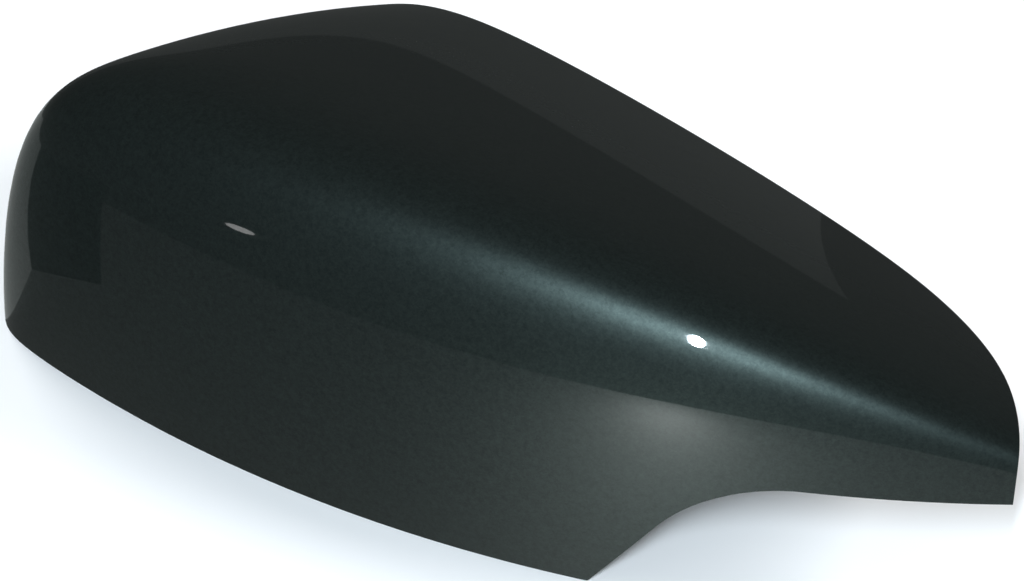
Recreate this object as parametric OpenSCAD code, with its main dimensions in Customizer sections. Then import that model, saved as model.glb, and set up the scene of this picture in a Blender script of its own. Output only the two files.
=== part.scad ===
/* [Outline] */
// Length from the outer end to the inner tip
cap_length = 251; // [235:1:265]
// From the outer end to where the lower wall bows out most
bow_station = 87.4; // [80:0.2:94]
// Bow radius of the lower wall, seen from the front
lower_bow_r = 340; // [320:2:380]
// Bow radius of the outer end wall
end_bow_r = 800; // [600:10:1000]
// Height of the outer end wall's furthest point above the lower wall
end_bow_height = 74; // [60:1:88]
// Bow radius of the upper edge
upper_bow_r = 1000; // [800:10:1200]
// Height of the face from the lower wall to the upper edge, at the outer end
outer_height = 179; // [172:1:186]
// The same height at the inner tip
inner_height = 116.5; // [110:0.5:122]

/* [Face] */
// Depth of the ridge before rounding, at the outer end
ridge_outer = 82; // [76:1:88]
// Depth of the ridge before rounding, half way along
ridge_middle = 96.5; // [90:0.5:102]
// Depth of the ridge before rounding, at the inner tip
ridge_inner = 51.5; // [47:0.5:57]
// How far the face bulges above a straight slope, at the outer end
outer_crown = 3.6; // [2.4:0.2:5]
// The same bulge at the inner tip
inner_crown = 6.9; // [5:0.1:8]
// Draft of the lower wall
lower_draft = 7.4; // [6:0.2:9]
// How far the lower wall bulges beyond its straight draft
lower_crown = 2; // [1:0.2:3]
// Height of the lower wall that bulges
lower_crown_height = 60; // [54:1:68]
// Draft of the outer end wall
end_draft = 4.8; // [3:0.1:8]
// Rounding between the walls and the face, at the outer end
outer_ridge_round = 35; // [30:1:40]
// The same rounding at the inner tip
inner_ridge_round = 6.5; // [5:0.5:9]
// Rounding of the upright corner between the two walls
corner_round = 11; // [10:1:16]

/* [Tip and foot notch] */
// Turn of the tip's cut from square to the length, at its lower corner
tip_turn = 21.5; // [18:0.5:25]
// Bow radius of the tip's cut
tip_bow_r = 252; // [220:2:300]
// Rounding between the tip's cut and the upper edge
tip_round = 14.5; // [10:0.5:18]
// Start of the foot notch, from the outer end
notch_start = 168.5; // [160:0.5:176]
// Depth of the foot notch
notch_depth = 36; // [32:0.5:38]
// Slope of the notch's rise
notch_slope = 56; // [50:1:60]
// Fillet radius at the top of the rise
notch_fillet = 35; // [28:1:42]

/* [Wall] */
// Wall thickness
wall = 2.5; // [2:0.1:3.2]

/* [Snap hooks and tongues] */
// Width of a hook or a tongue
hook_w = 12; // [8:0.5:16]
// Thickness of a hook's or a tongue's arm
hook_t = 1.8; // [1.4:0.1:2.4]
// Gap between a hook's arm and the wall, for the housing's edge
hook_gap = 3.2; // [2.6:0.1:3.8]
// Top of a hook's shelf above the rim
hook_top = 26; // [22:1:30]
// Free ends of the hooks and tongues above the rim
hook_foot = 5; // [4:0.5:8]
// How far a barb stands out
barb = 2; // [1.2:0.1:2.6]
// From the upper edge in to the tongues
tongue_inset = 34; // [30:1:40]

/* [Locating pins] */
// Diameter of a pin
pin_d = 7; // [5:0.5:8]
// Free end of a pin above the rim
pin_foot = 4; // [3:0.5:8]
// Lead-in at a pin's free end
pin_lead = 1; // [0.5:0.1:1.5]
// Plain length of a pin, from its lead-in to the boss that it stands on
pin_plain = 10; // [8:0.5:12]
// Diameter of a pin's boss
boss_d = 10; // [9:0.5:12]
// Reach of a gusset from the boss's middle
gusset_reach = 10; // [8:0.5:12]

/* [Ribs] */
// Thickness of the gussets and of the spacer ribs
rib_t = 1.4; // [1:0.1:1.8]
// Depth of a spacer rib at its foot
rib_depth = 5; // [3.5:0.5:6]
// Height of a spacer rib's top above the rim
rib_top = 42; // [36:1:46]

/* [Mesh] */
// Facets round the rim from the tip past the outer end to the notch
rim_steps = 84; // [64:2:92]
// Facets along the notch
notch_steps = 18; // [14:2:24]
// Facets from the rim to the top, outside
outer_rings = 30; // [22:1:32]
// Facets from the rim to the top, inside
inner_rings = 16; // [12:1:20]

/* [Hidden] */
paint = [0.10, 0.13, 0.13];

// Share of a rounding's radius that the smooth maximum takes as its width
round_share = 1 / 2.37;
// A surface's slope makes its upright distance longer than its true one
slope_share = 0.9;
x_end = -bow_station;
x_tip = cap_length - bow_station;
x_middle = (x_end + x_tip) / 2;
// Everything is measured from this upright line inside the cap
eye = [cap_length * 0.135, outer_height * 0.49];

// Two surfaces joined by a rounded edge of width k
function smooth_max(a, b, k) = max(a, b) + k * ln(1 + exp(-abs(a - b) / k));

// Where f changes sign between lo and hi, by halving
function crossing(f, lo, hi, n = 24) =
    let (mid = (lo + hi) / 2)
    n == 0 ? mid : f(mid) < 0 ? crossing(f, mid, hi, n - 1) : crossing(f, lo, mid, n - 1);

// Centre of the arc of radius r from a to b that bows to the left of the way from b to a
function arc_centre(a, b, r) =
    let (chord = b - a, len = norm(chord), rise = sqrt(r * r - len * len / 4))
    (a + b) / 2 + [chord.y, -chord.x] / len * rise;

upper_centre = arc_centre([x_end, outer_height], [x_tip, inner_height], upper_bow_r);
function lower_edge(x) = lower_bow_r - sqrt(lower_bow_r ^ 2 - x ^ 2);
function upper_edge(x) = upper_centre.y + sqrt(upper_bow_r ^ 2 - (x - upper_centre.x) ^ 2);

// Depth of the ridge along the cap: a parabola through the three named depths
function ridge(x) =
    let (u = (x - x_middle) / (cap_length / 2), ends = (ridge_inner + ridge_outer) / 2)
    ridge_middle + (ridge_inner - ridge_outer) / 2 * u + (ends - ridge_middle) * u ^ 2;

// Share of the length from the outer end to the inner tip
function along(x) = (x - x_end) / cap_length;

// A straight line from 0 to 1 bulges this far at most
function crowned(crown, share) = 4 * crown * share * (1 - share);

// Depth of the face, falling from the ridge to nothing at the upper edge
function face(x, y) =
    let (share = (y - lower_edge(x)) / (upper_edge(x) - lower_edge(x)))
    ridge(x) * (1 - share) + crowned(outer_crown + (inner_crown - outer_crown) * along(x), share);

// Rounding between the walls and the face, which tightens towards the tip
function ridge_round(x) = outer_ridge_round + (inner_ridge_round - outer_ridge_round) * min(1, along(x)) ^ 2;

// How far a point lies outside the walls, and outside the whole outer skin; negative inside
function outside_walls(p) =
    let (
        lower = (norm([p.x, p.y - lower_bow_r]) - lower_bow_r) * cos(lower_draft) + p.z * sin(lower_draft)
            - crowned(lower_crown, p.z / lower_crown_height),
        end = (norm([p.x - x_end - end_bow_r, p.y - end_bow_height]) - end_bow_r) * cos(end_draft)
            + p.z * sin(end_draft)
    )
    smooth_max(lower, end, corner_round * round_share);
function outside(p) =
    smooth_max(outside_walls(p), (p.z - face(p.x, p.y)) * slope_share, ridge_round(p.x) * round_share);

// The tip's cut, an upright bowed surface that runs into the upper edge
tip_corner = [x_tip, lower_edge(x_tip) + notch_depth * tan(lower_draft)];
tip_centre = tip_corner - tip_bow_r * [cos(tip_turn), sin(tip_turn)];
function beyond_cut(x, y) =
    smooth_max(norm([x, y] - tip_centre) - tip_bow_r, y - upper_edge(x), tip_round * round_share);

// Height of the foot notch's edge: a straight rise, a fillet and a flat top
notch_x = x_end + notch_start;
notch_tangent = notch_fillet * tan(notch_slope / 2);
notch_knee = notch_x + notch_depth / tan(notch_slope);
notch_rise_end = notch_knee - notch_tangent * cos(notch_slope);
notch_top_start = notch_knee + notch_tangent;
function notch_edge(x) =
    x < notch_x ? 0
    : x < notch_rise_end ? (x - notch_x) * tan(notch_slope)
    : x < notch_top_start ? notch_depth - notch_fillet + sqrt(notch_fillet ^ 2 - (x - notch_top_start) ^ 2)
    : notch_depth;
// The notch cuts the lower wall only
notch_reach = 25;
function ground(x, y) = y < lower_edge(x) + notch_reach ? notch_edge(x) : 0;

// The rim point of the skin that lies inset inside the outer one, in the direction a seen from the eye
function rim(a, inset) =
    let (
        dir = [cos(a), sin(a)],
        low = function (r) let (q = eye + r * dir) [q.x, q.y, ground(q.x, q.y)],
        r_wall = crossing(function (r) outside(low(r)) + inset, 5, cap_length * 0.8),
        r_cut = crossing(function (r) beyond_cut(eye.x + r * dir.x, eye.y + r * dir.y), 5, cap_length * 0.8),
        q = eye + r_cut * dir
    )
    r_wall < r_cut ? low(r_wall)
    : [q.x, q.y, crossing(function (z) outside([q.x, q.y, z]) + inset, 0, ridge_middle * 1.3)];

// Directions of the notch's two corners for a skin
function start_angle(inset) =
    let (y = crossing(function (y) -outside([notch_x, y, 0]) - inset, -lower_bow_r * 0.1, eye.y))
    atan2(y - eye.y, notch_x - eye.x);
function corner_angle(inset) =
    crossing(function (a) let (q = rim(a, inset)) beyond_cut(q.x, q.y) + 0.0001, start_angle(inset), 0);

// Directions spread so that tight turns of the rim get more of the facets. The trial directions lie closest
// together at the start, where the rim climbs the tip's corner.
turn_weight = 80;
function running(list, i = 0, sum = 0) =
    i == len(list) ? [sum] : concat([sum], running(list, i + 1, sum + list[i]));
function spread(from, to, steps, trial = 400) =
    let (
        angles = [for (i = [0:trial]) from + (to - from) * (i / trial) ^ 2],
        pts = [for (a = angles) rim(a, 0)],
        legs = [for (i = [1:trial]) pts[i] - pts[i - 1]],
        turns = [for (i = [0:trial - 1])
            i == 0 ? 0 : acos(min(1, legs[i] * legs[i - 1] / norm(legs[i]) / norm(legs[i - 1])))],
        sums = running([for (i = [0:trial - 1]) norm(legs[i]) + turn_weight * turns[i] * PI / 180]),
        table = [for (i = [0:trial]) [sums[i], angles[i]]]
    )
    [for (i = [0:steps - 1]) lookup(sums[trial] * i / steps, table)];

outer_start = start_angle(0);
outer_corner = corner_angle(0);
outer_angles = concat(
    spread(outer_start, outer_corner, notch_steps),
    spread(outer_corner, outer_start + 360, rim_steps));
inner_start = start_angle(wall);
inner_corner = corner_angle(wall);
inner_angles = [for (a = outer_angles)
    a < outer_corner
    ? inner_start + (a - outer_start) * (inner_corner - inner_start) / (outer_corner - outer_start)
    : inner_corner + (a - outer_corner) * (inner_start + 360 - inner_corner) / (outer_start + 360 - outer_corner)];

// Elevation of the ridge in the direction a, seen from the eye, and how far its rounding spreads
function crest(a) =
    let (
        at = function (r) let (q = eye + r * [cos(a), sin(a)]) [q.x, q.y, face(q.x, q.y)],
        r = crossing(function (r) outside_walls(at(r)), 5, cap_length * 0.8),
        least_spread = 5
    )
    [atan2(at(r).z, r), least_spread + atan2(ridge_round(at(r).x), r)];

// Elevations of the rings from the rim's to straight overhead, closest together round the ridge
bunching = 2.5;
function ring_lifts(a, edge, rings, trial = 40) =
    let (
        low = atan2(edge.z, norm([edge.x, edge.y] - eye)),
        top = crest(a),
        lifts = [for (i = [0:trial]) low + (90 - low) * i / trial],
        sums = running([for (i = [1:trial]) 1 + bunching * exp(-((lifts[i] - top[0]) / top[1]) ^ 2)]),
        table = [for (i = [0:trial]) [sums[i], lifts[i]]]
    )
    [for (j = [0:rings - 1]) lookup(sums[trial] * j / rings, table)];

eye_point = [eye.x, eye.y, 0];
function skin_point(a, lift, inset) =
    let (dir = [cos(a) * cos(lift), sin(a) * cos(lift), sin(lift)])
    eye_point + dir * crossing(function (r) outside(eye_point + r * dir) + inset, 5, cap_length);

function skin(angles, inset, rings) = concat(
    [for (a = angles) let (edge = rim(a, inset), lifts = ring_lifts(a, edge, rings))
        each [for (j = [0:rings - 1]) j == 0 ? edge : skin_point(a, lifts[j], inset)]],
    [skin_point(0, 90, inset)]);

count = len(outer_angles);
outer_skin = skin(outer_angles, 0, outer_rings);
inner_skin = skin(inner_angles, wall, inner_rings);

// Faces of a skin whose points start at first, split along the diagonal that lies nearer the true surface;
// flip turns them inside out
function skin_faces(pts, first, inset, rings, flip) =
    let (
        tri = function (a, b, c) flip ? [first + c, first + b, first + a] : [first + a, first + b, first + c],
        off = function (a, b) abs(outside((pts[a] + pts[b]) / 2) + inset)
    )
    [for (i = [0:count - 1]) let (k = (i + 1) % count)
        each concat(
            [for (j = [0:rings - 2]) each let (a = i * rings + j, b = k * rings + j)
                off(a, b + 1) < off(a + 1, b)
                ? [tri(a, a + 1, b + 1), tri(a, b + 1, b)]
                : [tri(a, a + 1, b), tri(a + 1, b + 1, b)]],
            [tri((i + 1) * rings - 1, count * rings, (k + 1) * rings - 1)])];

inner_first = len(outer_skin);
function rim_faces() =
    [for (i = [0:count - 1]) let (k = (i + 1) % count,
        a = i * outer_rings, b = k * outer_rings,
        c = inner_first + k * inner_rings, d = inner_first + i * inner_rings)
        each [[a, b, c], [a, c, d]]];

module shell() {
    polyhedron(
        points = concat(outer_skin, inner_skin),
        faces = concat(
            skin_faces(outer_skin, 0, 0, outer_rings, false),
            skin_faces(inner_skin, inner_first, wall, inner_rings, true),
            rim_faces()),
        convexity = 6);
}

// Point of the inner skin at height z, in the direction a seen from the eye
function inner_point(a, z) =
    let (dir = [cos(a), sin(a)], at = function (r) [eye.x + r * dir.x, eye.y + r * dir.y, z])
    at(crossing(function (r) outside(at(r)) + wall, 5, cap_length * 0.8));
// Compass direction that points straight away from the wall into the cap
function inward(p, step = 0.1) =
    atan2(outside(p) - outside(p + [0, step, 0]), outside(p) - outside(p + [step, 0, 0]));
// Height of the wall's middle over a plan point
function roof(x, y) = crossing(function (z) outside([x, y, z]) + wall / 2, 0, ridge_middle * 1.3);

// A plate of the given width, drawn as distance from the wall and height above the rim
module upright(p, turn, width) {
    translate([p.x, p.y, 0])
    rotate(turn)
    rotate([90, 0, 0])
    translate([0, 0, -width / 2])
    linear_extrude(width)
    children();
}

// Places along the walls, as directions seen from the eye
hook_angles = [-163, -130, -100, -72];
spacer_angles = [172, -172, -154, -139, -116, -86];
// Places of the tongues along the upper edge, and of the locating pins as shares of the length
// and of the face's height there
tongue_stations = [for (share = [0.23, 0.43, 0.64]) x_end + share * cap_length];
pin_places = [for (share = [[0.1, 0.66], [0.83, 0.56]]) let (x = x_end + share.x * cap_length)
    [x, lower_edge(x) + share.y * (upper_edge(x) - lower_edge(x))]];

// Height that a rib against the wall reaches, well below the ridge's rounding
function rib_height(p) = min(rib_top, 0.62 * face(p.x, p.y));

// Snap hook on a wall: a shelf, an arm that leaves a gap for the housing's edge, and a barb
module hook(a) {
    foot = inner_point(a, hook_foot);
    turn = inward(foot);
    lean = function (z) (inner_point(a, z) - foot) * [cos(turn), sin(turn), 0] - wall / 2;
    arm = lean(hook_top) + wall / 2 + hook_gap;
    upright(foot, turn, hook_w) polygon([
        [lean(hook_top), hook_top],
        [arm + hook_t, hook_top],
        [arm + hook_t, hook_foot + 3 * barb],
        [arm + hook_t + barb, hook_foot + 2.4 * barb],
        [arm + hook_t, hook_foot],
        [arm, hook_foot],
        [arm, hook_top - hook_t],
        [lean(hook_top - hook_t), hook_top - hook_t]]);
    top = rib_height(foot);
    upright(foot, turn, rib_t) polygon([
        [lean(hook_top - hook_t / 2), hook_top - hook_t / 2],
        [arm + hook_t, hook_top - hook_t / 2],
        [lean(top), top]]);
}

// Spacer rib that holds the housing's edge off the wall
module spacer(a) {
    foot = inner_point(a, hook_foot);
    turn = inward(foot);
    lean = function (z) (inner_point(a, z) - foot) * [cos(turn), sin(turn), 0] - wall / 2;
    top = rib_height(foot);
    upright(foot, turn, rib_t) polygon([
        [lean(hook_foot), hook_foot],
        [rib_depth, hook_foot],
        [rib_depth + lean(top / 2), top / 2],
        [lean(top), top]]);
}

// Snap tongue that hangs from the face along the upper edge, with a barb and a gusset behind it
module tongue(x) {
    edge = [x, upper_edge(x)];
    away = (edge - upper_centre) / upper_bow_r;
    foot = edge - away * tongue_inset;
    top = function (d) let (q = foot + away * d) [d, roof(q.x, q.y)];
    turn = atan2(away.y, away.x);
    upright(foot, turn, hook_w) polygon([
        top(-hook_t),
        top(0),
        [0, hook_foot + 3 * barb],
        [barb, hook_foot + 2.4 * barb],
        [0, hook_foot],
        [-hook_t, hook_foot]]);
    upright(foot, turn, rib_t) polygon([
        top(-gusset_reach),
        top(-hook_t / 2),
        [-hook_t / 2, hook_foot + 5 * barb],
        [-hook_t, hook_foot + 5 * barb]]);
}

// Locating pin on a boss that stands from the face, with four gussets at the boss's root
module locating_pin(place) {
    shoulder = pin_foot + pin_lead + pin_plain;
    translate([place.x, place.y, pin_foot]) {
        cylinder(h = pin_lead, d1 = pin_d - 2 * pin_lead, d2 = pin_d, $fn = 48);
        translate([0, 0, pin_lead])
        cylinder(h = pin_plain, d = pin_d, $fn = 48);
    }
    middle = [place.x, place.y, roof(place.x, place.y)];
    step = 0.1;
    slope = [
        atan2(roof(place.x, place.y + step) - middle.z, step),
        atan2(middle.z - roof(place.x + step, place.y), step)];
    intersection() {
        translate([place.x, place.y, shoulder])
        cylinder(h = ridge_middle, d = boss_d, $fn = 48);
        translate(middle)
        rotate([slope.x, slope.y, 0])
        translate([0, 0, -ridge_middle])
        cube(2 * ridge_middle, center = true);
    }
    for (turn = [0, 90]) {
        dir = [cos(turn), sin(turn)];
        top = function (d) let (q = place + dir * d) [d, roof(q.x, q.y)];
        upright(place, turn, rib_t) polygon([
            top(-gusset_reach),
            top(0),
            top(gusset_reach),
            [boss_d / 2, shoulder + barb],
            [-boss_d / 2, shoulder + barb]]);
    }
}

// The origin is under the middle of the cap
xs = [for (p = outer_skin) p.x];
ys = [for (p = outer_skin) p.y];
centre = [(min(xs) + max(xs)) / 2, (min(ys) + max(ys)) / 2, 0];

module mirror_cover() {
    color(paint)
    translate(-centre)
    union() {
        shell();
        for (a = hook_angles) hook(a);
        for (a = spacer_angles) spacer(a);
        for (x = tongue_stations) tongue(x);
        for (place = pin_places) locating_pin(place);
    }
}

mirror_cover();
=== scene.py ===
# Front cover of a car's wing mirror, off the car and lying on its rim.
import math
from types import SimpleNamespace

import bmesh
import bpy
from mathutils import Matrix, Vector


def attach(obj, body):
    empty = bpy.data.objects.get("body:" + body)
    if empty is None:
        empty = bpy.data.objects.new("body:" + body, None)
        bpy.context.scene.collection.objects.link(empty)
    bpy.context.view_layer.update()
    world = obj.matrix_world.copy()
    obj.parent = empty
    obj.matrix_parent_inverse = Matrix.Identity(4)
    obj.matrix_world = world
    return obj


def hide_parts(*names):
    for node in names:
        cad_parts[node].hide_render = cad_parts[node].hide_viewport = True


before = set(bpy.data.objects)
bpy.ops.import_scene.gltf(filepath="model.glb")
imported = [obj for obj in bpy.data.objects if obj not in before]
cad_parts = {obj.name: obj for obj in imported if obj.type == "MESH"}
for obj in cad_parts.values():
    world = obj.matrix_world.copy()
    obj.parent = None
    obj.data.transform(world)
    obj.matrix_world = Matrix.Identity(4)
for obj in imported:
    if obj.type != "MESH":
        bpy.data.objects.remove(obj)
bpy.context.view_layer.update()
scene = bpy.context.scene

# The shell: one ABS moulding 2.5 mm thick, a domed skin with a rounded ridge, cut off at the tip
# and notched for the mirror's foot. Its form follows a few arcs and drafts, so a node tree finds
# each point of both skins by sighting from a line inside the cover out to the form.

shell_sizes = {
    "Length": 0.251,
    "Bow Station": 0.0874,
    "Lower Bow Radius": 0.340,
    "End Bow Radius": 0.800,
    "End Bow Height": 0.074,
    "Upper Bow Radius": 1.000,
    "Outer Height": 0.179,
    "Inner Height": 0.1165,
    "Ridge Outer": 0.082,
    "Ridge Middle": 0.0965,
    "Ridge Inner": 0.0515,
    "Outer Crown": 0.0036,
    "Inner Crown": 0.0069,
    "Lower Draft": math.radians(7.4),
    "Lower Crown": 0.002,
    "Lower Crown Height": 0.060,
    "End Draft": math.radians(4.8),
    "Outer Ridge Round": 0.035,
    "Inner Ridge Round": 0.0065,
    "Corner Round": 0.011,
    "Tip Turn": math.radians(21.5),
    "Tip Bow Radius": 0.252,
    "Tip Round": 0.0145,
    "Notch Start": 0.1685,
    "Notch Depth": 0.036,
    "Notch Slope": math.radians(56),
    "Notch Fillet": 0.035,
    "Notch Reach": 0.025,
    "Wall": 0.0025,
    "Overspray Reach": 0.009,
}
shell_mesh = {"Notch Columns": 70, "Columns": 520, "Outer Rings": 100, "Inner Rings": 36}


class Measure:
    """A length or angle in a node tree. Arithmetic on it adds Math nodes, so a rule reads as a formula."""

    def __init__(self, tree, socket):
        self.tree, self.socket = tree, socket

    def by(self, operation, *others):
        node = self.tree.nodes.new("ShaderNodeMath")
        node.operation = operation
        for place, part in zip(node.inputs, (self, *others)):
            if isinstance(part, Measure):
                self.tree.links.new(part.socket, place)
            else:
                place.default_value = part
        return Measure(self.tree, node.outputs[0])

    def __add__(self, other):
        return self.by("ADD", other)

    def __sub__(self, other):
        return self.by("SUBTRACT", other)

    def __rsub__(self, other):
        return (self * -1).by("ADD", other)

    def __mul__(self, other):
        return self.by("MULTIPLY", other)

    def __truediv__(self, other):
        return self.by("DIVIDE", other)

    def __lt__(self, other):
        return self.by("LESS_THAN", other)

    def __gt__(self, other):
        return self.by("GREATER_THAN", other)

    __radd__, __rmul__ = __add__, __mul__

    def squared(self):
        return self * self

    def root(self):
        return self.by("SQRT")

    def sin(self):
        return self.by("SINE")

    def cos(self):
        return self.by("COSINE")

    def tan(self):
        return self.by("TANGENT")


def mixed(share, at_one, at_none):
    """Between two measures; a share of one or none picks one of them."""
    return (at_one - at_none) * share + at_none


def across(a, b):
    return (a.squared() + b.squared()).root()


def blended(a, b, width):
    """Two surfaces joined by a rounded edge."""
    fade = ((a - b).by("ABSOLUTE") / width * -1).by("EXPONENT")
    return a.by("MAXIMUM", b) + (fade + 1).by("LOGARITHM", math.e) * width


def crossing(tree, test, low, high, halvings=25):
    """Where the test turns from negative to positive between low and high, by halving in a repeat zone."""
    start = tree.nodes.new("GeometryNodeRepeatInput")
    end = tree.nodes.new("GeometryNodeRepeatOutput")
    start.pair_with_output(end)
    end.repeat_items.clear()
    for name, value in (("Low", low), ("High", high)):
        end.repeat_items.new("FLOAT", name)
        if isinstance(value, Measure):
            tree.links.new(value.socket, start.inputs[name])
        else:
            start.inputs[name].default_value = value
    start.inputs["Iterations"].default_value = halvings
    low, high = (Measure(tree, start.outputs[name]) for name in ("Low", "High"))
    middle = (low + high) * 0.5
    short = test(middle) < 0.0
    tree.links.new(mixed(short, middle, low).socket, end.inputs["Low"])
    tree.links.new(mixed(short, high, middle).socket, end.inputs["High"])
    return (Measure(tree, end.outputs["Low"]) + Measure(tree, end.outputs["High"])) * 0.5


def shell_form(cap):
    """The rules of the cover's form for the given sizes, as functions of a place."""
    round_share, slope_share = 1 / 2.37, 0.9
    x_end = cap.bow_station * -1
    x_tip = cap.length - cap.bow_station
    x_middle = (x_end + x_tip) * 0.5

    # The upper edge is an arc through both ends of the face
    rise = cap.inner_height - cap.outer_height
    chord = across(cap.length, rise)
    to_centre = (cap.upper_bow_radius.squared() - chord.squared() * 0.25).root() / chord
    centre_x = x_middle + rise * to_centre
    centre_y = (cap.outer_height + cap.inner_height) * 0.5 - cap.length * to_centre

    def lower_edge(x):
        return cap.lower_bow_radius - (cap.lower_bow_radius.squared() - x.squared()).root()

    def upper_edge(x):
        return centre_y + (cap.upper_bow_radius.squared() - (x - centre_x).squared()).root()

    def crowned(crown, share):
        return crown * 4 * share * (1 - share)

    def face(x, y):
        u = (x - x_middle) / (cap.length * 0.5)
        ends = (cap.ridge_inner + cap.ridge_outer) * 0.5
        fall = (cap.ridge_inner - cap.ridge_outer) * 0.5
        ridge = cap.ridge_middle + fall * u + (ends - cap.ridge_middle) * u.squared()
        crown = cap.outer_crown + (cap.inner_crown - cap.outer_crown) * (x - x_end) / cap.length
        share = (y - lower_edge(x)) / (upper_edge(x) - lower_edge(x))
        return ridge * (1 - share) + crowned(crown, share)

    def ridge_round(x):
        along = ((x - x_end) / cap.length).by("MINIMUM", 1.0)
        return cap.outer_ridge_round + (cap.inner_ridge_round - cap.outer_ridge_round) * along.squared()

    def outside_walls(x, y, z):
        lower = ((across(x, y - cap.lower_bow_radius) - cap.lower_bow_radius) * cap.lower_draft.cos()
                 + z * cap.lower_draft.sin() - crowned(cap.lower_crown, z / cap.lower_crown_height))
        from_end = across(x - x_end - cap.end_bow_radius, y - cap.end_bow_height) - cap.end_bow_radius
        end = from_end * cap.end_draft.cos() + z * cap.end_draft.sin()
        return blended(lower, end, cap.corner_round * round_share)

    def outside(x, y, z):
        return blended(outside_walls(x, y, z), (z - face(x, y)) * slope_share, ridge_round(x) * round_share)

    tip_y = lower_edge(x_tip) + cap.notch_depth * cap.lower_draft.tan()
    cut_x = x_tip - cap.tip_bow_radius * cap.tip_turn.cos()
    cut_y = tip_y - cap.tip_bow_radius * cap.tip_turn.sin()

    def beyond_cut(x, y):
        past_bow = across(x - cut_x, y - cut_y) - cap.tip_bow_radius
        return blended(past_bow, y - upper_edge(x), cap.tip_round * round_share)

    # The notch's edge: a straight rise, a fillet and a flat top, in the lower wall only
    notch_x = x_end + cap.notch_start
    tangent = cap.notch_fillet * (cap.notch_slope * 0.5).tan()
    knee = notch_x + cap.notch_depth / cap.notch_slope.tan()
    rise_end = knee - tangent * cap.notch_slope.cos()
    top_start = knee + tangent

    def ground(x, y):
        straight = ((x - notch_x) * cap.notch_slope.tan()).by("MAXIMUM", 0.0)
        fillet_rise = (cap.notch_fillet.squared() - (x - top_start).squared()).by("MAXIMUM", 0.0).root()
        fillet = cap.notch_depth - cap.notch_fillet + fillet_rise
        edge = mixed(x < rise_end, straight, mixed(x < top_start, fillet, cap.notch_depth))
        return edge * (y < lower_edge(x) + cap.notch_reach)

    return SimpleNamespace(
        face=face, ridge_round=ridge_round, outside_walls=outside_walls, outside=outside, beyond_cut=beyond_cut,
        ground=ground, notch_x=notch_x, cut_x=cut_x, cut_y=cut_y)


def captured(tree, geometry, measure, kind="FLOAT"):
    """The measure worked out once for each point of the geometry."""
    capture = tree.nodes.new("GeometryNodeCaptureAttribute")
    capture.capture_items.new(kind, "Value")
    tree.links.new(geometry, capture.inputs[0])
    tree.links.new(measure.socket, capture.inputs[1])
    return capture.outputs[0], Measure(tree, capture.outputs[1])


def split(tree, vector):
    node = tree.nodes.new("ShaderNodeSeparateXYZ")
    tree.links.new(vector, node.inputs[0])
    return [Measure(tree, out) for out in node.outputs]


def joined(tree, *measures):
    node = tree.nodes.new("ShaderNodeCombineXYZ")
    for measure, place in zip(measures, node.inputs):
        if isinstance(measure, Measure):
            tree.links.new(measure.socket, place)
        else:
            place.default_value = measure
    return node.outputs[0]


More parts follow.
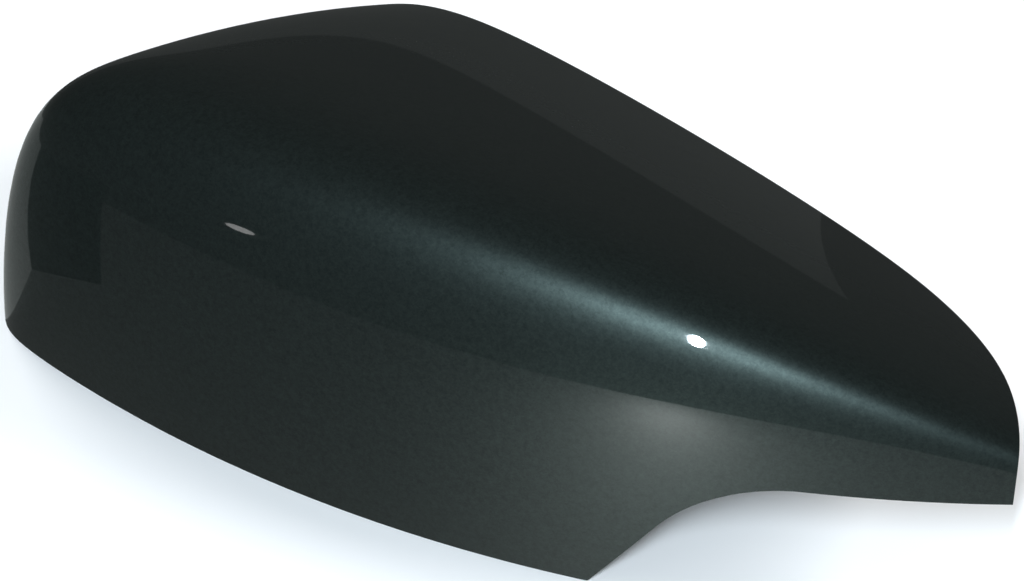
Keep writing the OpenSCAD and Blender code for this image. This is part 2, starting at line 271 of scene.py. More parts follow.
def shell_tree(paint, bare_plastic):
    tree = bpy.data.node_groups.new("mirror_cover_shell", "GeometryNodeTree")
    for name in shell_sizes:
        tree.interface.new_socket(name, in_out="INPUT", socket_type="NodeSocketFloat")
    for name in shell_mesh:
        tree.interface.new_socket(name, in_out="INPUT", socket_type="NodeSocketInt")
    tree.interface.new_socket("Shell", in_out="OUTPUT", socket_type="NodeSocketGeometry")
    inlet = tree.nodes.new("NodeGroupInput")
    outlet = tree.nodes.new("NodeGroupOutput")
    cap = SimpleNamespace(**{
        name.lower().replace(" ", "_"): Measure(tree, inlet.outputs[name]) for name in (*shell_sizes, *shell_mesh)})
    form = shell_form(cap)

    # A flat sheet: columns run round the rim, rows from the inner skin's top over the rim to the outer skin's top
    columns, rows = cap.notch_columns + cap.columns, cap.inner_rings + cap.outer_rings + 1
    sheet = tree.nodes.new("GeometryNodeMeshGrid")
    sheet.inputs["Size X"].default_value = 1
    sheet.inputs["Size Y"].default_value = 1
    tree.links.new((columns + 1).socket, sheet.inputs["Vertices X"])
    tree.links.new((rows + 1).socket, sheet.inputs["Vertices Y"])
    place = tree.nodes.new("GeometryNodeInputPosition")
    u, v, _ = split(tree, place.outputs[0])
    geometry = sheet.outputs["Mesh"]
    geometry, column = captured(tree, geometry, ((u + 0.5) * columns).by("ROUND"))
    geometry, row = captured(tree, geometry, ((v + 0.5) * rows).by("ROUND"))
    inside = row < cap.inner_rings + 0.5
    inset = inside * cap.wall
    share = mixed(inside, 1 - row / cap.inner_rings, (row - cap.inner_rings - 1) / cap.outer_rings)

    # Directions of the notch's two corners, seen from the eye, and of each column between them
    eye_x, eye_y = cap.length * 0.135, cap.outer_height * 0.49
    start_y = crossing(tree, lambda y: (form.outside(form.notch_x, y, y * 0) + inset) * -1, -0.03, eye_y)
    start = (start_y - eye_y).by("ARCTAN2", form.notch_x - eye_x)

    def cut_point(angle):
        return form.cut_x + cap.tip_bow_radius * angle.cos(), form.cut_y + cap.tip_bow_radius * angle.sin()

    corner_turn = crossing(
        tree, lambda angle: (form.outside(*cut_point(angle), cap.notch_depth) + inset) * -1,
        cap.tip_turn - 0.02, cap.tip_turn + 0.08)
    corner_x, corner_y = cut_point(corner_turn)
    corner = (corner_y - eye_y).by("ARCTAN2", corner_x - eye_x)
    past_corner = ((column - cap.notch_columns) / cap.columns).by("MAXIMUM", 0.0).by("POWER", 1.5)
    angle = mixed(
        column < cap.notch_columns,
        start + (corner - start) * column / cap.notch_columns,
        corner + (start + 2 * math.pi - corner) * past_corner)
    geometry, angle = captured(tree, geometry, angle)
    along_x, along_y = angle.cos(), angle.sin()

    # The rim: where the wall stands on the ground or the notch's edge, or else where the tip's cut meets the skin
    def low_wall(reach):
        x, y = eye_x + reach * along_x, eye_y + reach * along_y
        return form.outside(x, y, form.ground(x, y)) + inset

    to_wall = crossing(tree, low_wall, 0.005, 0.2)
    to_cut = crossing(
        tree, lambda reach: form.beyond_cut(eye_x + reach * along_x, eye_y + reach * along_y), 0.005, 0.2)
    on_wall = to_wall < to_cut
    reach = to_wall.by("MINIMUM", to_cut)
    geometry, reach = captured(tree, geometry, reach)
    geometry, on_wall = captured(tree, geometry, on_wall)
    rim_x, rim_y = eye_x + reach * along_x, eye_y + reach * along_y
    cut_z = crossing(tree, lambda z: form.outside(rim_x, rim_y, z) + inset, 0.0, 0.12)
    geometry, rim_z = captured(tree, geometry, mixed(on_wall, form.ground(rim_x, rim_y), cut_z))

    # Rings climb from the rim to straight overhead and lie closest together round the ridge
    def above_ridge(reach):
        x, y = eye_x + reach * along_x, eye_y + reach * along_y
        return form.outside_walls(x, y, form.face(x, y))

    to_ridge = crossing(tree, above_ridge, 0.005, 0.2)
    ridge_x, ridge_y = eye_x + to_ridge * along_x, eye_y + to_ridge * along_y
    geometry, crest = captured(tree, geometry, form.face(ridge_x, ridge_y).by("ARCTAN2", to_ridge))
    geometry, spread = captured(tree, geometry, form.ridge_round(ridge_x).by("ARCTAN2", to_ridge) + math.radians(5))
    geometry, low = captured(tree, geometry, rim_z.by("ARCTAN2", reach))

    def rings_below(lift):
        return lift + ((lift - crest) / spread).by("TANH") * spread * 4

    overhead = low * 0 + math.pi / 2
    lift = crossing(
        tree, lambda lift: rings_below(lift) - mixed(share, rings_below(overhead), rings_below(low)), low, math.pi / 2)
    geometry, lift = captured(tree, geometry, lift)
    out, up = lift.cos(), lift.sin()
    skin = crossing(
        tree, lambda far: form.outside(eye_x + far * out * along_x, eye_y + far * out * along_y, far * up) + inset,
        0.005, 0.251)
    point = joined(tree, eye_x + skin * out * along_x, eye_y + skin * out * along_y, skin * up)
    rim_point = joined(tree, rim_x, rim_y, rim_z)
    gap = tree.nodes.new("ShaderNodeVectorMath")
    gap.operation = "DISTANCE"
    tree.links.new(point, gap.inputs[0])
    tree.links.new(rim_point, gap.inputs[1])
    near_rim = tree.nodes.new("GeometryNodeStoreNamedAttribute")
    near_rim.inputs["Name"].default_value = "near_rim"
    tree.links.new(geometry, near_rim.inputs["Geometry"])
    nearness = (Measure(tree, gap.outputs["Value"]) / cap.overspray_reach * -1).by("EXPONENT")
    tree.links.new(nearness.socket, near_rim.inputs["Value"])
    shaped = tree.nodes.new("GeometryNodeSetPosition")
    tree.links.new(near_rim.outputs[0], shaped.inputs["Geometry"])
    tree.links.new(point, shaped.inputs["Position"])

    # Bring the middle of the cover over the origin and close the seam and the two tops
    box = tree.nodes.new("GeometryNodeBoundBox")
    tree.links.new(shaped.outputs[0], box.inputs[0])
    (low_x, low_y, _), (high_x, high_y, _) = split(tree, box.outputs["Min"]), split(tree, box.outputs["Max"])
    moved = tree.nodes.new("GeometryNodeTransform")
    tree.links.new(shaped.outputs[0], moved.inputs["Geometry"])
    tree.links.new(joined(tree, (low_x + high_x) * -0.5, (low_y + high_y) * -0.5), moved.inputs["Translation"])
    closed = tree.nodes.new("GeometryNodeMergeByDistance")
    closed.inputs["Distance"].default_value = 2e-6
    tree.links.new(moved.outputs[0], closed.inputs["Geometry"])

    smooth = tree.nodes.new("GeometryNodeSetShadeSmooth")
    tree.links.new(closed.outputs[0], smooth.inputs["Geometry"])
    plain = tree.nodes.new("GeometryNodeRealizeInstances")
    tree.links.new(smooth.outputs[0], plain.inputs["Geometry"])
    painted = tree.nodes.new("GeometryNodeSetMaterial")
    painted.inputs["Material"].default_value = paint
    tree.links.new(plain.outputs[0], painted.inputs["Geometry"])
    bare = tree.nodes.new("GeometryNodeSetMaterial")
    bare.inputs["Material"].default_value = bare_plastic
    tree.links.new(painted.outputs[0], bare.inputs["Geometry"])
    tree.links.new((row < cap.inner_rings).socket, bare.inputs["Selection"])
    tree.links.new(bare.outputs[0], outlet.inputs[0])
    return tree


def wired(tree, kind, values=None, **settings):
    """A new node with its settings and socket values; a value that is a socket gets a link."""
    node = tree.nodes.new(kind)
    for name, value in settings.items():
        setattr(node, name, value)
    for name, value in (values or {}).items():
        if isinstance(value, bpy.types.NodeSocket):
            tree.links.new(value, node.inputs[name])
        else:
            node.inputs[name].default_value = value
    return node


def handling_group():
    """Faint dust and wipe marks: a mask of where they lie, for paint and bare plastic alike."""
    group = bpy.data.node_groups.new("dust_and_wipe_marks", "ShaderNodeTree")
    for name, value in (("Dust Scale", 60.0), ("Wipe Scale", 14.0), ("Amount", 1.0)):
        group.interface.new_socket(name, in_out="INPUT", socket_type="NodeSocketFloat").default_value = value
    group.interface.new_socket("Mask", in_out="OUTPUT", socket_type="NodeSocketFloat")
    inlet, outlet = group.nodes.new("NodeGroupInput"), group.nodes.new("NodeGroupOutput")
    place = wired(group, "ShaderNodeTexCoord")
    dust = wired(group, "ShaderNodeTexNoise", {
        "Vector": place.outputs["Object"], "Scale": inlet.outputs["Dust Scale"], "Detail": 6.0, "Roughness": 0.65})
    stretch = wired(group, "ShaderNodeMapping", {
        "Vector": place.outputs["Object"], "Rotation": (0, 0, math.radians(25)), "Scale": (0.35, 2.0, 1.0)})
    wipe = wired(group, "ShaderNodeTexNoise", {
        "Vector": stretch.outputs[0], "Scale": inlet.outputs["Wipe Scale"], "Detail": 4.0, "Roughness": 0.6})
    both = wired(group, "ShaderNodeMath", {0: dust.outputs["Fac"], 1: wipe.outputs["Fac"]}, operation="MULTIPLY")
    lifted = wired(group, "ShaderNodeMapRange", {
        "Value": both.outputs[0], "From Min": 0.2, "From Max": 0.42, "To Min": 0.0, "To Max": 1.0})
    scaled = wired(group, "ShaderNodeMath", {0: lifted.outputs[0], 1: inlet.outputs["Amount"]}, operation="MULTIPLY")
    group.links.new(scaled.outputs[0], outlet.inputs["Mask"])
    return group


dust_and_wipe_marks = handling_group()

paint = bpy.data.materials.new("dark_green_metallic_paint")
paint.use_nodes = True
nodes = paint.node_tree
coat = nodes.nodes["Principled BSDF"]
place = wired(nodes, "ShaderNodeTexCoord").outputs["Object"]
# Aluminium flakes in green pigment: each small cell is a flake with its own tilt and brightness, in faint clumps
deep_green, lit_flake = (0.022, 0.032, 0.030, 1), (0.054, 0.074, 0.069, 1)
flakes = wired(nodes, "ShaderNodeTexVoronoi", {"Vector": place, "Scale": 2600.0})
cell = wired(nodes, "ShaderNodeSeparateColor", {"Color": flakes.outputs["Color"]})
clumps = wired(nodes, "ShaderNodeTexNoise", {"Vector": place, "Scale": 700.0, "Detail": 3.0, "Roughness": 0.6})
brightness = wired(nodes, "ShaderNodeMath", {
    0: cell.outputs[0], 1: 0.35, 2: clumps.outputs["Fac"]}, operation="MULTIPLY_ADD")
flake_colour = wired(nodes, "ShaderNodeMapRange", {
    "Value": brightness.outputs[0], "From Min": 0.10, "From Max": 1.25, "To Min": 0.0, "To Max": 1.0})
paint_colour = wired(nodes, "ShaderNodeMix", {"A": deep_green, "B": lit_flake}, data_type="RGBA")
nodes.links.new(flake_colour.outputs[0], paint_colour.inputs[0])
nodes.links.new(paint_colour.outputs["Result"], coat.inputs["Base Color"])
coat.inputs["Metallic"].default_value = 0.85
marks = wired(nodes, "ShaderNodeGroup", node_tree=dust_and_wipe_marks)
marks.inputs["Amount"].default_value = 0.5
rough = wired(nodes, "ShaderNodeMapRange", {"Value": marks.outputs[0], "To Min": 0.44, "To Max": 0.50})
nodes.links.new(rough.outputs[0], coat.inputs["Roughness"])
tilt = wired(nodes, "ShaderNodeBump", {"Height": cell.outputs[1], "Strength": 0.12, "Distance": 0.0002})
nodes.links.new(tilt.outputs[0], coat.inputs["Normal"])
coat.inputs["Coat Weight"].default_value = 1.0
coat.inputs["Coat Roughness"].default_value = 0.03
coat.inputs["Coat IOR"].default_value = 1.5

bare_plastic = bpy.data.materials.new("bare_black_abs")
bare_plastic.use_nodes = True
nodes = bare_plastic.node_tree
plastic = nodes.nodes["Principled BSDF"]
place = wired(nodes, "ShaderNodeTexCoord").outputs["Object"]
# Black ABS with the mould's fine spark finish, cloudy from flow, and a haze of green overspray inside the rim
black_abs, cloudy_abs = (0.020, 0.020, 0.021, 1), (0.030, 0.030, 0.031, 1)
overspray_green, dust_grey = (0.040, 0.058, 0.054, 1), (0.075, 0.075, 0.072, 1)
clouds = wired(nodes, "ShaderNodeTexNoise", {"Vector": place, "Scale": 35.0, "Detail": 4.0, "Roughness": 0.55})
black = wired(nodes, "ShaderNodeMix", {"A": black_abs, "B": cloudy_abs}, data_type="RGBA")
nodes.links.new(clouds.outputs["Fac"], black.inputs[0])
near = wired(nodes, "ShaderNodeAttribute", attribute_name="near_rim")
spray = wired(nodes, "ShaderNodeTexNoise", {"Vector": place, "Scale": 450.0, "Detail": 3.0, "Roughness": 0.7})
patchy = wired(nodes, "ShaderNodeMath", {0: near.outputs["Fac"], 1: spray.outputs["Fac"]}, operation="MULTIPLY")
haze = wired(nodes, "ShaderNodeMapRange", {
    "Value": patchy.outputs[0], "From Min": 0.06, "From Max": 0.45, "To Min": 0.0, "To Max": 1.0},
    interpolation_type="SMOOTHSTEP")
sprayed = wired(nodes, "ShaderNodeMix", {"A": black.outputs["Result"], "B": overspray_green}, data_type="RGBA")
nodes.links.new(haze.outputs[0], sprayed.inputs[0])
marks = wired(nodes, "ShaderNodeGroup", node_tree=dust_and_wipe_marks)
marks.inputs["Dust Scale"].default_value = 90.0
marks.inputs["Amount"].default_value = 0.35
dusty = wired(nodes, "ShaderNodeMix", {"A": sprayed.outputs["Result"], "B": dust_grey}, data_type="RGBA")
nodes.links.new(marks.outputs[0], dusty.inputs[0])
nodes.links.new(dusty.outputs["Result"], plastic.inputs["Base Color"])
worn = wired(nodes, "ShaderNodeMapRange", {"Value": clouds.outputs["Fac"], "To Min": 0.42, "To Max": 0.58})
nodes.links.new(worn.outputs[0], plastic.inputs["Roughness"])
spark = wired(nodes, "ShaderNodeTexNoise", {"Vector": place, "Scale": 2200.0, "Detail": 2.0, "Roughness": 0.5})
texture = wired(nodes, "ShaderNodeBump", {"Height": spark.outputs["Fac"], "Strength": 0.25, "Distance": 0.0001})
nodes.links.new(texture.outputs[0], plastic.inputs["Normal"])


def formed(name, tree, values, start):
    """The plain mesh that a tree makes of a starting mesh with these values."""
    carrier = bpy.data.objects.new(name, start)
    scene.collection.objects.link(carrier)
    forming = carrier.modifiers.new("form", "NODES")
    forming.node_group = tree
    for label, value in values.items():
        forming[tree.interface.items_tree[label].identifier] = value
    bpy.context.view_layer.update()
    mesh = bpy.data.meshes.new_from_object(carrier.evaluated_get(bpy.context.evaluated_depsgraph_get()))
    bpy.data.objects.remove(carrier)
    return mesh


def with_rounded_edges(name, mesh, width, sharpest):
    """An object of the mesh, whose edges sharper than an angle in degrees are rounded."""
    piece = bpy.data.objects.new(name, mesh)
    scene.collection.objects.link(piece)
    edges = piece.modifiers.new("rounded_edges", "BEVEL")
    edges.width = width
    edges.segments = 2
    edges.limit_method = "ANGLE"
    edges.angle_limit = math.radians(sharpest)
    edges.harden_normals = True
    return piece


moulded = formed(
    "shell_blank", shell_tree(paint, bare_plastic), {**shell_sizes, **shell_mesh}, bpy.data.meshes.new("shell_blank"))
shell = with_rounded_edges("cover_shell", moulded, 0.0004, 45)
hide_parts("mirror_cover")
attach(shell, "root")

# The snap hooks: four springy arms moulded to the shell's walls. Each hangs from a short shelf with a
# rib above it, stands off the wall to leave a gap for the housing's edge, and ends in a barb.

class Spot:
    """A fitting's place and the way it faces, giving points out from it, up and sideways."""

    def __init__(self, tree, skin, x, y, facing_x, facing_y, rib_top=None):
        self.tree, self.skin, self.x, self.y, self.rib_top = tree, skin, x, y, rib_top
        self.facing_x, self.facing_y = facing_x, facing_y

    def at(self, out, height, sideways=0.0):
        return joined(
            self.tree, self.x + self.facing_x * out - self.facing_y * sideways,
            self.y + self.facing_y * out + self.facing_x * sideways, height)

    def against_wall(self, height):
        """The place where the wall is met ahead of this one, facing off the wall."""
        seen = sight(self.tree, self.skin, self.at(0.0, height), joined(self.tree, self.facing_x, self.facing_y, 0.0))
        x, y, _ = split(self.tree, seen.outputs["Hit Position"])
        off_x, off_y, _ = split(self.tree, seen.outputs["Hit Normal"])
        flat = across(off_x, off_y)
        return Spot(self.tree, self.skin, x, y, off_x / flat, off_y / flat, self.rib_top)

    def lean(self, height, stand_off=0.025):
        """How far in from this place the wall stands at a height."""
        seen = sight(
            self.tree, self.skin, self.at(stand_off, height),
            joined(self.tree, self.facing_x * -1, self.facing_y * -1, 0.0))
        return stand_off - Measure(self.tree, seen.outputs["Hit Distance"])


def sight(tree, skin, start, direction):
    """A line of sight to the shell's inner skin."""
    return wired(tree, "GeometryNodeRaycast", {
        "Target Geometry": skin, "Source Position": start, "Ray Direction": direction, "Ray Length": 0.2})


to_roof = 0.2  # a height that stands for the shell's wall overhead
bite = 0.00125  # every fitting runs into the middle of the wall that carries it


def plate(spot, outline, width):
    """A flat plate across the spot, from an outline of distances out from it and heights."""
    tree = spot.tree
    disc = wired(tree, "GeometryNodeMeshCircle", {"Vertices": len(outline)}, fill_type="NGON")
    corner = wired(tree, "GeometryNodeIndexSwitch", {
        "Index": tree.nodes.new("GeometryNodeInputIndex").outputs[0]}, data_type="VECTOR")
    for _ in outline[2:]:
        corner.index_switch_items.new()
    for number, (out, height) in enumerate(outline):
        tree.links.new(spot.at(out, height, width * -0.5), corner.inputs[str(number)])
    side = wired(tree, "GeometryNodeSetPosition", {"Geometry": disc.outputs["Mesh"], "Position": corner.outputs[0]})
    thick = wired(tree, "GeometryNodeExtrudeMesh", {
        "Mesh": side.outputs[0], "Individual": False, "Offset Scale": 1.0,
        "Offset": joined(tree, spot.facing_y * width * -1, spot.facing_x * width, 0.0)})
    both = tree.nodes.new("GeometryNodeJoinGeometry")
    for part in (side, thick):
        tree.links.new(part.outputs[0], both.inputs[0])
    return wired(tree, "GeometryNodeMergeByDistance", {"Geometry": both.outputs[0], "Distance": 1e-6}).outputs[0]


def fitted(name, shape, sizes, places):
    """One object of like fittings, one at each place (x, y, facing in degrees, top of its rib)."""
    tree = bpy.data.node_groups.new(name, "GeometryNodeTree")
    tree.interface.new_socket("Places", in_out="INPUT", socket_type="NodeSocketGeometry")
    tree.interface.new_socket("Shell", in_out="INPUT", socket_type="NodeSocketObject")
    for label in sizes:
        tree.interface.new_socket(label, in_out="INPUT", socket_type="NodeSocketFloat")
    tree.interface.new_socket("Fittings", in_out="OUTPUT", socket_type="NodeSocketGeometry")
    inlet, outlet = tree.nodes.new("NodeGroupInput"), tree.nodes.new("NodeGroupOutput")
    size = SimpleNamespace(**{
        label.lower().replace(" ", "_"): Measure(tree, inlet.outputs[label]) for label in sizes})
    skin = wired(tree, "GeometryNodeObjectInfo", {"Object": inlet.outputs["Shell"]}).outputs["Geometry"]
    start = tree.nodes.new("GeometryNodeForeachGeometryElementInput")
    end = tree.nodes.new("GeometryNodeForeachGeometryElementOutput")
    start.pair_with_output(end)
    end.domain = "POINT"
    for label in ("Place", "Facing"):
        end.input_items.new("VECTOR", label)
    facing = wired(tree, "GeometryNodeInputNamedAttribute", {"Name": "facing"}, data_type="FLOAT_VECTOR")
    position = tree.nodes.new("GeometryNodeInputPosition")
    tree.links.new(inlet.outputs["Places"], start.inputs["Geometry"])
    tree.links.new(position.outputs[0], start.inputs["Place"])
    tree.links.new(facing.outputs[0], start.inputs["Facing"])
    x, y, rib_top = split(tree, start.outputs["Place"])
    facing_x, facing_y, _ = split(tree, start.outputs["Facing"])
    whole = tree.nodes.new("GeometryNodeJoinGeometry")
    for part in shape(Spot(tree, skin, x, y, facing_x, facing_y, rib_top), size):
        tree.links.new(part, whole.inputs[0])

    # Corners that were put at the roof's stand-in height go to the real roof over them
    x, y, z = split(tree, position.outputs[0])
    overhead = sight(tree, skin, joined(tree, x, y, 0.015), (0, 0, 1))
    _, _, roof = split(tree, overhead.outputs["Hit Position"])
    reaching = wired(tree, "GeometryNodeSetPosition", {
        "Geometry": whole.outputs[0], "Selection": (z > to_roof - 0.01).socket,
        "Position": joined(tree, x, y, roof + bite)})
    tree.links.new(reaching.outputs[0], end.inputs["Geometry"])
    plain = wired(tree, "GeometryNodeRealizeInstances", {"Geometry": end.outputs[2]})
    smooth = wired(tree, "GeometryNodeSetShadeSmooth", {"Geometry": plain.outputs[0]})
    dressed = wired(tree, "GeometryNodeSetMaterial", {"Geometry": smooth.outputs[0], "Material": bare_plastic})
    tree.links.new(dressed.outputs[0], outlet.inputs[0])

    points = bpy.data.meshes.new(name)
    points.from_pydata([(x, y, top) for x, y, _, top in places], [], [])
    way = points.attributes.new("facing", "FLOAT_VECTOR", "POINT")
    for point, (_, _, degrees, _) in zip(way.data, places):
        point.vector = (math.cos(math.radians(degrees)), math.sin(math.radians(degrees)), 0)
    mesh = formed(name, tree, {"Shell": shell, **sizes}, points)
    outward = bmesh.new()
    outward.from_mesh(mesh)
    bmesh.ops.recalc_face_normals(outward, faces=outward.faces)
    outward.to_mesh(mesh)
    outward.free()
    piece = with_rounded_edges(name, mesh, 0.0002, 40)
    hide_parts("mirror_cover")
    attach(piece, "root")


hook_sizes = {
    "Width": 0.012, "Thickness": 0.0018, "Gap": 0.0032, "Top": 0.026, "Foot": 0.005, "Barb": 0.002,
    "Rib Thickness": 0.0014}
eye = (-0.0047, 0.0022)  # the walls' fittings are placed by their direction from here


def snap_hook(spot, size):
    wall = spot.against_wall(size.foot)
    arm = wall.lean(size.top) + size.gap
    under, middle, back = size.top - size.thickness, size.top - size.thickness * 0.5, arm + size.thickness
    yield plate(wall, [
        (wall.lean(size.top) - bite, size.top), (back, size.top), (back, size.foot + size.barb * 3),
        (back + size.barb, size.foot + size.barb * 2.4), (back, size.foot), (arm, size.foot), (arm, under),
        (wall.lean(under) - bite, under)], size.width)
    yield plate(wall, [
        (wall.lean(middle) - bite, middle), (back, middle), (wall.lean(wall.rib_top), wall.rib_top),
        (wall.lean(wall.rib_top) - bite, wall.rib_top)], size.rib_thickness)


fitted("snap_hooks", snap_hook, hook_sizes, [
    (*eye, -163, 0.039), (*eye, -130, 0.042), (*eye, -100, 0.042), (*eye, -72, 0.042)])

# The spacer ribs: six thin upright ribs on the outer end and the lower wall, moulded with them. They
# hold the housing's edge off the painted wall, and taper away towards their tops.

spacer_sizes = {"Foot": 0.005, "Depth": 0.005, "Thickness": 0.0014}


def spacer_rib(spot, size):
    wall = spot.against_wall(size.foot)
    half = wall.rib_top * 0.5
    yield plate(wall, [
        (wall.lean(size.foot) - bite, size.foot), (size.depth, size.foot), (size.depth + wall.lean(half), half),
        (wall.lean(wall.rib_top), wall.rib_top), (wall.lean(wall.rib_top) - bite, wall.rib_top)], size.thickness)


fitted("spacer_ribs", spacer_rib, spacer_sizes, [
    (*eye, 172, 0.0245), (*eye, -172, 0.033), (*eye, -154, 0.042), (*eye, -139, 0.042), (*eye, -116, 0.042),
    (*eye, -86, 0.042)])

# The snap tongues: three flat tongues along the upper edge, hanging from the face with a gusset behind
# each. They are moulded with the shell, and their barbs grip the housing's inner edge.

tongue_sizes = {
    "Width": 0.012, "Thickness": 0.0018, "Foot": 0.005, "Barb": 0.002, "Gusset Reach": 0.010,
    "Gusset Thickness": 0.0014}


def snap_tongue(spot, size):
    back = size.thickness * -1
    shoulder = size.foot + size.barb * 5
    yield plate(spot, [
        (back, to_roof), (0.0, to_roof), (0.0, size.foot + size.barb * 3), (size.barb, size.foot + size.barb * 2.4),
        (0.0, size.foot), (back, size.foot)], size.width)
    yield plate(spot, [
        (size.gusset_reach * -1, to_roof), (back * 0.5, to_roof), (back * 0.5, shoulder), (back, shoulder)],
        size.gusset_thickness)


fitted("snap_tongues", snap_tongue, tongue_sizes, [
    (-0.068249, 0.051125, 80.3, 0), (-0.018049, 0.041039, 77.4, 0), (0.034661, 0.027518, 74.4, 0)])

# The locating pins: two round pins that enter holes in the housing and centre the cover. Each is
# moulded on a wider boss that stands from the face, with four gussets round the boss's root.

pin_sizes = {
    "Pin Radius": 0.0035, "Boss Radius": 0.005, "Foot": 0.004, "Lead": 0.001, "Shoulder": 0.015,
    "Gusset Reach": 0.010, "Gusset Thickness": 0.0014}


def turned(spot, profile, sides=48):
    """A round form about the spot's upright line, from a profile of radii and heights."""
    tree = spot.tree
    net = wired(tree, "GeometryNodeMeshGrid", {
        "Size X": 1.0, "Size Y": 1.0, "Vertices X": sides + 1, "Vertices Y": len(profile)})
    u, v, _ = split(tree, tree.nodes.new("GeometryNodeInputPosition").outputs[0])
    ring = wired(tree, "GeometryNodeIndexSwitch", {
        "Index": ((v + 0.5) * (len(profile) - 1)).by("ROUND").socket}, data_type="VECTOR")
    for _ in profile[2:]:
        ring.index_switch_items.new()
    for number, (radius, height) in enumerate(profile):
        tree.links.new(joined(tree, radius, height, 0.0), ring.inputs[str(number)])
    radius, height, _ = split(tree, ring.outputs[0])
    turn = (u + 0.5) * (2 * math.pi)
    round_form = wired(tree, "GeometryNodeSetPosition", {
        "Geometry": net.outputs["Mesh"],
        "Position": joined(tree, spot.x + radius * turn.cos(), spot.y + radius * turn.sin(), height)})
    closed = wired(tree, "GeometryNodeMergeByDistance", {"Geometry": round_form.outputs[0], "Distance": 1e-6})
    return closed.outputs[0]


def locating_pin(spot, size):
    yield turned(spot, [
        (0.0, size.foot), (size.pin_radius - size.lead, size.foot), (size.pin_radius, size.foot + size.lead),
        (size.pin_radius, size.shoulder), (size.boss_radius, size.shoulder), (size.boss_radius, to_roof),
        (0.0, to_roof)])
    crosswise = Spot(spot.tree, spot.skin, spot.x, spot.y, spot.facing_y * -1, spot.facing_x)
    low = size.shoulder + 0.002
    for gusset in (spot, crosswise):
        yield plate(gusset, [
            (size.gusset_reach * -1, to_roof), (0.0, to_roof), (size.gusset_reach, to_roof), (size.boss_radius, low),
            (size.boss_radius * -1, low)], size.gusset_thickness)


fitted("locating_pins", locating_pin, pin_sizes, [(-0.100879, 0.03245, 0, 0), (0.082351, -0.00176, 0, 0)])

# The table is a pale sheet. Cards that glow at set levels and that only the gloss sees stand for the room round it;
# they are painted reflections, so that the dark paint mirrors a dim room, a painted pool of lamp light on the table
# and a painted shade, as a part laid on a bench does.

def sheet(name, corners, height=0.0):
    mesh = bpy.data.meshes.new(name)
    mesh.from_pydata([(x, y, height) for x, y in corners], [], [tuple(range(len(corners)))])
    plane = bpy.data.objects.new(name, mesh)
    scene.collection.objects.link(plane)
    return plane


table = sheet("table", [(-3, -3), (3, -3), (3, 3), (-3, 3)])
white = bpy.data.materials.new("white_table")
white.use_nodes = True
tree = white.node_tree
pale = tree.nodes["Principled BSDF"]
pale.inputs["Base Color"].default_value = (0.93, 0.93, 0.93, 1)
pale.inputs["Roughness"].default_value = 0.9
# From beneath the sheet is clear, so that the cover's hollow side can be looked at there
side = tree.nodes.new("ShaderNodeNewGeometry")
ray = tree.nodes.new("ShaderNodeLightPath")
clear = wired(tree, "ShaderNodeMath", {
    0: side.outputs["Backfacing"], 1: ray.outputs["Is Shadow Ray"]}, operation="MAXIMUM")
see_through = tree.nodes.new("ShaderNodeBsdfTransparent")
one_way = wired(tree, "ShaderNodeMixShader", {0: clear.outputs[0], 1: pale.outputs[0], 2: see_through.outputs[0]})
tree.links.new(one_way.outputs[0], tree.nodes["Material Output"].inputs["Surface"])
table.data.materials.append(white)


def seen_in_gloss_only(thing):
    thing.visible_camera = thing.visible_diffuse = thing.visible_shadow = thing.visible_transmission = False


def glowing(name, level):
    material = bpy.data.materials.new(name)
    material.use_nodes = True
    tree = material.node_tree
    tree.nodes.remove(tree.nodes["Principled BSDF"])
    light = wired(tree, "ShaderNodeEmission", {"Color": (0.93, 1.0, 0.98, 1), "Strength": level})
    tree.links.new(light.outputs[0], tree.nodes["Material Output"].inputs["Surface"])
    return material


def card(name, corners, level, height):
    plane = sheet(name, corners, height)
    plane.data.materials.append(glowing(name, level))
    seen_in_gloss_only(plane)
    return plane


# Painted reflections: each card glows at a set level, dim for the room's floor and brighter for the bench in front,
# behind and at the left
card("room_floor", [(-2.9, -2.9), (2.9, -2.9), (2.9, 2.9), (-2.9, 2.9)], 0.03, 0.0001)
bench = card("bench_front", [(-0.9, -0.315), (0.9, -0.315), (0.9, 0.02), (-0.9, 0.02)], 0.1, 0.0002)
card("bench_back", [(-0.9, 0.02), (0.03, 0.02), (0.04, 0.137), (-0.9, 0.137)], 0.05, 0.0002)
card("bench_left", [(-0.118, -0.07), (-0.143, -0.098), (-0.9, -0.371), (-0.9, 0.02), (-0.118, 0.02)], 0.33, 0.0003)
# bench_shade is a near-black card, a painted shade beside the bench that only the gloss sees
card("bench_shade", [(-0.143, -0.098), (-0.131, -0.126), (-0.9, -0.864), (-0.9, -0.371)], 0.01, 0.0003)

# Painted light: a pool of lamp light painted on the bench card and seen only in reflections, bright at its middle and
# falling off as light under a low lamp does, and paler towards the +x end
tree = bench.data.materials[0].node_tree
place = wired(tree, "ShaderNodeTexCoord").outputs["Object"]
from_glow = wired(tree, "ShaderNodeMapping", {
    "Vector": place, "Location": (0.084, -0.231, 0), "Rotation": (0, 0, 0.157), "Scale": (0.0285, 0.095, 1)},
    vector_type="TEXTURE")
far = wired(tree, "ShaderNodeVectorMath", {
    0: from_glow.outputs[0], 1: from_glow.outputs[0]}, operation="DOT_PRODUCT")
spread = wired(tree, "ShaderNodeMath", {0: far.outputs["Value"], 1: 1.0}, operation="ADD")
glow = wired(tree, "ShaderNodeMath", {0: spread.outputs[0], 1: -1.5}, operation="POWER")
along = wired(tree, "ShaderNodeSeparateXYZ", {0: place})
paler = wired(tree, "ShaderNodeMapRange", {
    "Value": along.outputs["X"], "From Min": 0.0, "From Max": 0.14, "To Min": 0.09, "To Max": 0.28},
    interpolation_type="SMOOTHSTEP")
level = wired(tree, "ShaderNodeMath", {0: glow.outputs[0], 1: 3.0, 2: paler.outputs[0]}, operation="MULTIPLY_ADD")
tree.links.new(level.outputs[0], tree.nodes["Emission"].inputs["Strength"])
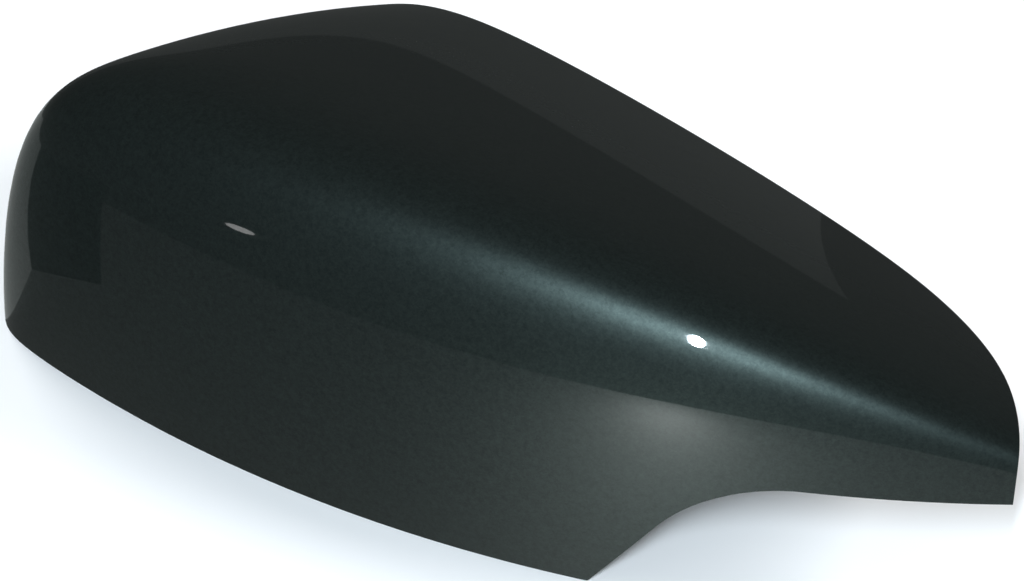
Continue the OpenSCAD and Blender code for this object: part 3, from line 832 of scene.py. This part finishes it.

# Painted reflection: a dark glowing dome that only the gloss sees, so that the paint mirrors a dim room all round
dome_mesh = bpy.data.meshes.new("room")
dome_form = bmesh.new()
bmesh.ops.create_icosphere(dome_form, subdivisions=4, radius=2.8)
dome_form.to_mesh(dome_mesh)
dome_form.free()
dome = bpy.data.objects.new("room", dome_mesh)
scene.collection.objects.link(dome)
dome_mesh.materials.append(glowing("room", 0.03))
seen_in_gloss_only(dome)

# The camera looks down on the lower wall from the side of the tip, as the photograph's does
target = Vector((-0.00431, -0.02803, 0.028))
azimuth, elevation, distance = math.radians(30), math.radians(43), 0.74
level_part = math.cos(elevation)
towards = Vector((math.sin(azimuth) * level_part, -math.cos(azimuth) * level_part, math.sin(elevation)))
camera = bpy.data.objects.new("camera", bpy.data.cameras.new("camera"))
scene.collection.objects.link(camera)
camera.location = target + towards * distance
camera.rotation_euler = (-towards).to_track_quat("-Z", "Y").to_euler()
camera.data.sensor_width = 36
camera.data.lens = 112.5
camera.data.clip_start = 0.01
scene.camera = camera


def lamp(name, place, size, strength, aim=(0, 0, 0.03), in_gloss=True, turn=0.0):
    light = bpy.data.lights.new(name, "AREA")
    light.shape = "ELLIPSE"
    light.size, light.size_y = size
    light.energy = strength
    holder = bpy.data.objects.new(name, light)
    scene.collection.objects.link(holder)
    holder.location = place
    holder.rotation_euler = (Vector(aim) - Vector(place)).to_track_quat("-Z", "Y").to_euler()
    holder.rotation_euler.rotate_axis("Z", turn)
    holder.visible_glossy = in_gloss
    return holder


# The bright spot on the ridge and the small glint left of it are these two lamps
camera_lamp = lamp(
    "camera_lamp", (0.232, -0.489, 0.549), (0.023, 0.24), 4.6, aim=(0.058, -0.058, 0.066), turn=-0.25)
camera_lamp.data.color = (0.80, 0.91, 1.0)
lamp("far_lamp", (-0.82, -1.36, 0.12), (0.09, 0.06), 0.05, aim=(-0.047, -0.074, 0.064))
# Soft boxes light the cover from both sides, and a lamp under the clear side of the sheet lights its hollow
lamp("right_box", (1.0, 0.5, 0.9), (0.6, 0.6), 12.0, in_gloss=False)
lamp("lamp_beneath", (-0.01, -0.01, -0.45), (0.12, 0.08), 2.5, in_gloss=False)
lamp("left_box", (-0.9, 0.4, 1.0), (0.6, 0.6), 8.0, in_gloss=False)

world = bpy.data.worlds.new("studio")
scene.world = world
world.use_nodes = True
# The background is white to the camera and in reflections, and a plain grey as light
tree = world.node_tree
ray = tree.nodes.new("ShaderNodeLightPath")
seen = wired(tree, "ShaderNodeMath", {
    0: ray.outputs["Is Camera Ray"], 1: ray.outputs["Is Glossy Ray"]}, operation="MAXIMUM")
seen = wired(tree, "ShaderNodeMath", {0: seen.outputs[0], 1: ray.outputs["Is Transmission Ray"]}, operation="MAXIMUM")
backdrop = wired(tree, "ShaderNodeMix", {"A": (0.3, 0.3, 0.3, 1), "B": (1, 1, 1, 1)}, data_type="RGBA")
tree.links.new(seen.outputs[0], backdrop.inputs[0])
tree.links.new(backdrop.outputs["Result"], tree.nodes["Background"].inputs["Color"])
scene.view_settings.view_transform = "Standard"
